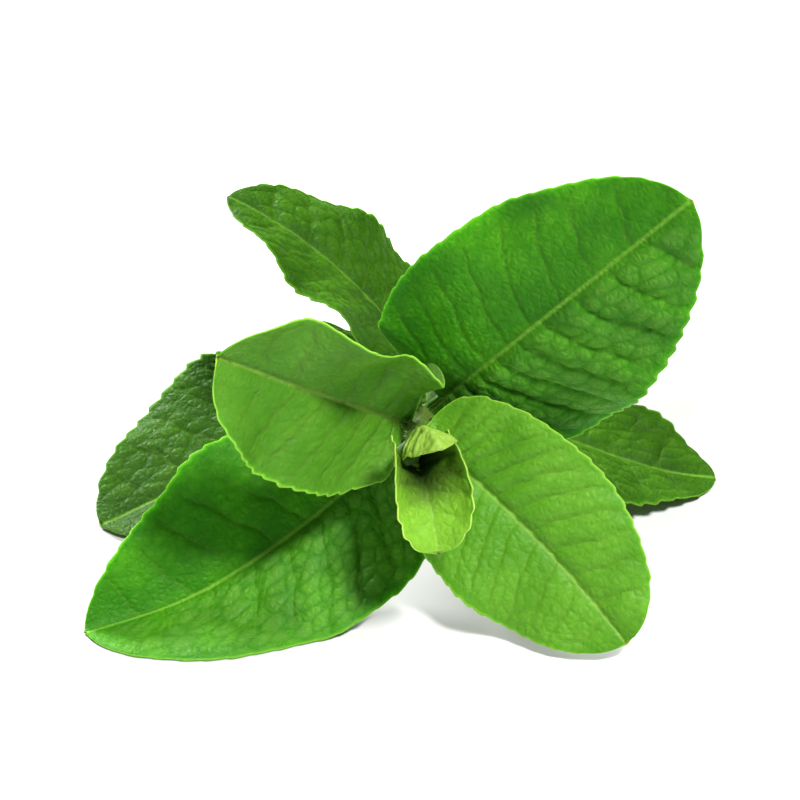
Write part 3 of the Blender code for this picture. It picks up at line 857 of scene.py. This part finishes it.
# The middle leaves carry painted shade by the stem.
MIDDLE_LOOK = dict(face=(0.07, 0.29, 0.004), deep=(0.026, 0.165, 0.002), vein=(0.19, 0.44, 0.04),
                   rim=(0.13, 0.35, 0.02), under=(0.08, 0.20, 0.03), lateral_show=0.12,
                   painted_sheen_show=0.32, base_shade_show=0.4, gloss=0.16)
for leaf in MIDDLE_LEAVES:
    made = grow(leaf)
    leaf_skin(made, **MIDDLE_LOOK)
    settle(made, leaf.name)

# ---------------------------------------------------------------- the side shoots
# Where the middle leaves join the stem, side shoots are starting: tiny dark green leaves, one on
# the right and two on the left, half hidden between the stalks.
TINY = dict(fold=(20, 20), curl=(30, 30), stalk=0.8, teeth=5, wave=0.1, quilt=(0.05, 0.05),
            ridge=(0.06, 0.06), laterals=4, tooth=(0.2, 0.2), rib=0.2, rows=8, columns=32)
SIDE_SHOOTS = [
    Leaf("side_shoot_1", "middle", 6.5, 5.4, azimuth=-56, pitch=14, droop=-10, seed=13, **TINY),
    Leaf("side_shoot_2", "middle", 7.0, 4.4, azimuth=200, pitch=72, droop=-12, seed=14, **TINY),
    Leaf("side_shoot_3", "middle", 7.0, 4.6, azimuth=150, pitch=52, droop=-20, seed=15, **TINY),
]
SHOOT_LOOK = dict(face=(0.06, 0.21, 0.005), deep=(0.025, 0.12, 0.002), vein=(0.15, 0.34, 0.04),
                  rim=(0.12, 0.30, 0.02), under=(0.10, 0.24, 0.03), painted_sheen_show=0.1)
for leaf in SIDE_SHOOTS:
    made = grow(leaf)
    leaf_skin(made, **SHOOT_LOOK)
    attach(made, "root")

# ---------------------------------------------------------------- the upper pair
# Young leaves, lighter and softer. The left one is folded up along its midrib, with a rounded lobe
# at its base, and the right one hangs forward.
UPPER_LEAVES = [
    Leaf("upper_leaf_left", "upper", 37, 28, azimuth=212, pitch=36, droop=2, roll=58,
         fold=(-24, 42, -8, 52), curl=(10, 24), stalk=1.5, teeth=16, wave=0.5, blunt=0.42,
         rise=0.3, heel=(1.0, 2.1),
         bends=((True, 0.52, 0.15, 12), (True, 0.1, 0.14, 18), (True, 0.8, 0.15, -10),
                (False, 0.62, 0.16, -12)),
         quilt=(0.14, 0.06), ridge=(0.10, 0.05), laterals=8, tooth=(0.45, 0.2), rib=0.7, seed=7),
    Leaf("upper_leaf_right", "upper", 41, 28, azimuth=-38, pitch=-21, droop=-20, roll=-54,
         fold=(16, 24, 4, 8), curl=(-18, -12), stalk=1.0, teeth=17, wave=0.8, blunt=0.5,
         heel=(2.4, 0.0), quilt=(0.08, 0.15), ridge=(0.38, 0.10), laterals=12,
         tooth=(0.3, 0.25), rib=0.7, seed=8),
]
UPPER_GREENS = dict(face=(0.14, 0.37, 0.02), deep=(0.08, 0.27, 0.008), vein=(0.28, 0.50, 0.06),
                    painted_sheen=(0.24, 0.44, 0.08))
# Both leaves share these greens, scaled down for each to how bright it shows: painted shade,
# deeper on the left leaf.
UPPER_SHADE_SCALE = {"upper_leaf_left": 0.68, "upper_leaf_right": 0.92}
for leaf in UPPER_LEAVES:
    made = grow(leaf)
    greens = {part: tuple(channel * UPPER_SHADE_SCALE[leaf.name] for channel in colour)
              for part, colour in UPPER_GREENS.items()}
    leaf_skin(made, rim=(0.24, 0.46, 0.04), under=(0.10, 0.24, 0.03), vein_show=0.5,
              lateral_show=0.1, bump=0.35, **greens)
    settle(made, leaf.name)

# ---------------------------------------------------------------- the growing tip
# The youngest leaves, pale yellow-green and still cupped round the bud: a toothed front leaf that
# hangs down, a hood behind, and a tiny pair inside.
INNER = dict(fold=(16, 16), curl=(24, 24), stalk=1.0, teeth=4, wave=0, rise=0.8, sunk=True,
             quilt=(0.03, 0.03), ridge=(0.05, 0.05), laterals=4, rib=0.2, columns=32)
TIP_LEAVES = [
    Leaf("young_front", "young", 16.5, 16, azimuth=-77, pitch=-4, droop=-52,
         fold=(14, 14, 2, 2), curl=(88, 80, 66, 56), stalk=1.6, teeth=8, wave=0.2, rise=0.26,
         blunt=0.5, sunk=True, tooth=(1.0, 1.0), quilt=(0.12, 0.12), ridge=(0.15, 0.15),
         laterals=6, rib=0.35, seed=9, columns=72),
    Leaf("young_back", "young", 11.5, 10, azimuth=-66, pitch=62, droop=-84, roll=180,
         fold=(14, 14), curl=(44, 44), stalk=1.6, teeth=7, wave=0.2, rise=0.5, sunk=True,
         quilt=(0.1, 0.1), ridge=(0.12, 0.12), laterals=5, rib=0.25, tooth=(0.3, 0.3), seed=10,
         columns=56),
    Leaf("inner_left", "inner", 3.4, 2.6, azimuth=-100, pitch=-16, roll=90, seed=11, **INNER),
    Leaf("inner_right", "inner", 3.2, 2.6, azimuth=-80, pitch=-16, roll=-90, seed=12, **INNER),
]
TIP_LOOK = dict(face=(0.22, 0.45, 0.032), deep=(0.14, 0.35, 0.015), vein=(0.32, 0.54, 0.10),
                rim=(0.42, 0.66, 0.11), under=(0.26, 0.43, 0.055), vein_show=0.25,
                lateral_show=0.1, crease_shade_show=0.35, painted_sheen=(0.27, 0.50, 0.05), painted_sheen_show=0.3)
for leaf in TIP_LEAVES:
    made = grow(leaf)
    # Painted shade in the cup of the front leaf and the inner pair; none on the hood.
    leaf_skin(made, base_shade_show=0.0 if leaf.name == "young_back" else 1.0, **TIP_LOOK)
    settle(made, "tip")

TIP_CORE = (3.4, 6.4)
BUD_LOBES = 0.10
BUD_TAPER = 0.12
BUD_GREEN = (0.035, 0.13, 0.004, 1)
BUD_LIGHT_GREEN = (0.09, 0.24, 0.02, 1)
tip_centre, tip_heading = stem_at(STEM_LENGTH)
tip_centre = tip_centre + tip_heading * (GAP + TIP_CORE[1] / 2)
bpy.ops.object.select_all(action="DESELECT")
bpy.ops.mesh.primitive_uv_sphere_add(segments=48, ring_count=32, radius=0.5 * MM)
bud = bpy.context.object
bud.name = "mint_bud"
round_at = corners_of(bud) / (0.5 * MM)
turn = np.arctan2(round_at[:, 1], round_at[:, 0])
lobes = 1 + BUD_LOBES * np.cos(4 * turn) * (1 - round_at[:, 2] ** 2)
lobes = lobes - BUD_TAPER * np.clip(round_at[:, 2], 0, 1)
swollen = round_at * np.stack([lobes, lobes, np.ones(len(turn))], axis=1)
swollen = swollen * np.array([TIP_CORE[0], TIP_CORE[0], TIP_CORE[1]]) / 2
to_world = np.array(Vector(tip_heading).to_track_quat("Z", "Y").to_matrix())
move_corners(bud, (swollen @ to_world.T + tip_centre) * MM)
bpy.ops.object.shade_smooth()
tree, shader = material_for(bud, "bud_skin", 0.5, subsurface=0.3, sheen=0.3)
speckles = node(tree, "ShaderNodeTexNoise", None, Scale=1800.0, Detail=3.0,
                Vector=node(tree, "ShaderNodeTexCoord").outputs["Object"])
tree.links.new(mixed(tree, speckles.outputs["Fac"], BUD_GREEN, BUD_LIGHT_GREEN),
               shader.inputs["Base Color"])
settle(bud, "tip")

# ---------------------------------------------------------------- the table, lights and camera
# A plain pale table under soft studio lights: the key light high at the front right and a second
# one behind on the left. The camera looks from the front and above.
TABLE_SIZE = 6
TABLE_GREY = (0.66, 0.66, 0.65, 1)
ROOM_LIGHT = 0.16
VIEW_PITCH = 35.0
VIEW_LENS = 120.0
VIEW_DISTANCE = 0.40
VIEW_NEAR = 0.01
LOOK_AT = Vector((-0.0015, -0.014, 0.0245))

bpy.ops.object.select_all(action="DESELECT")
bpy.ops.mesh.primitive_plane_add(size=TABLE_SIZE, location=(0, 0, 0))
table = bpy.context.object
table.name = "table"
tree, shader = material_for(table, "pale_table", 0.7)
shader.inputs["Base Color"].default_value = TABLE_GREY


def lamp(name, place, size, power):
    """A round soft lamp that shines at the sprig."""
    bpy.ops.object.light_add(type="AREA", location=place)
    made = bpy.context.object
    made.name = name
    made.data.shape = "DISK"
    made.data.size = size
    made.data.energy = power
    made.rotation_euler = (LOOK_AT - Vector(place)).to_track_quat("-Z", "Y").to_euler()


lamp("key_light", (0.32, -0.36, 0.86), 0.2, 15.0)
lamp("back_light", (-0.4, 0.6, 0.5), 0.3, 19.0)
world = bpy.data.worlds.new("studio")
bpy.context.scene.world = world
world.use_nodes = True
world.node_tree.nodes["Background"].inputs["Color"].default_value = (1, 1, 1, 1)
world.node_tree.nodes["Background"].inputs["Strength"].default_value = ROOM_LIGHT

bpy.ops.object.camera_add()
camera = bpy.context.object
camera.name = "front_camera"
camera.data.lens = VIEW_LENS
back = Vector((0, -math.cos(math.radians(VIEW_PITCH)), math.sin(math.radians(VIEW_PITCH))))
camera.location = LOOK_AT + back * VIEW_DISTANCE
camera.rotation_euler = (-back).to_track_quat("-Z", "Y").to_euler()
camera.data.clip_start = VIEW_NEAR
bpy.context.scene.camera = camera
bpy.context.scene.view_settings.view_transform = "Standard"
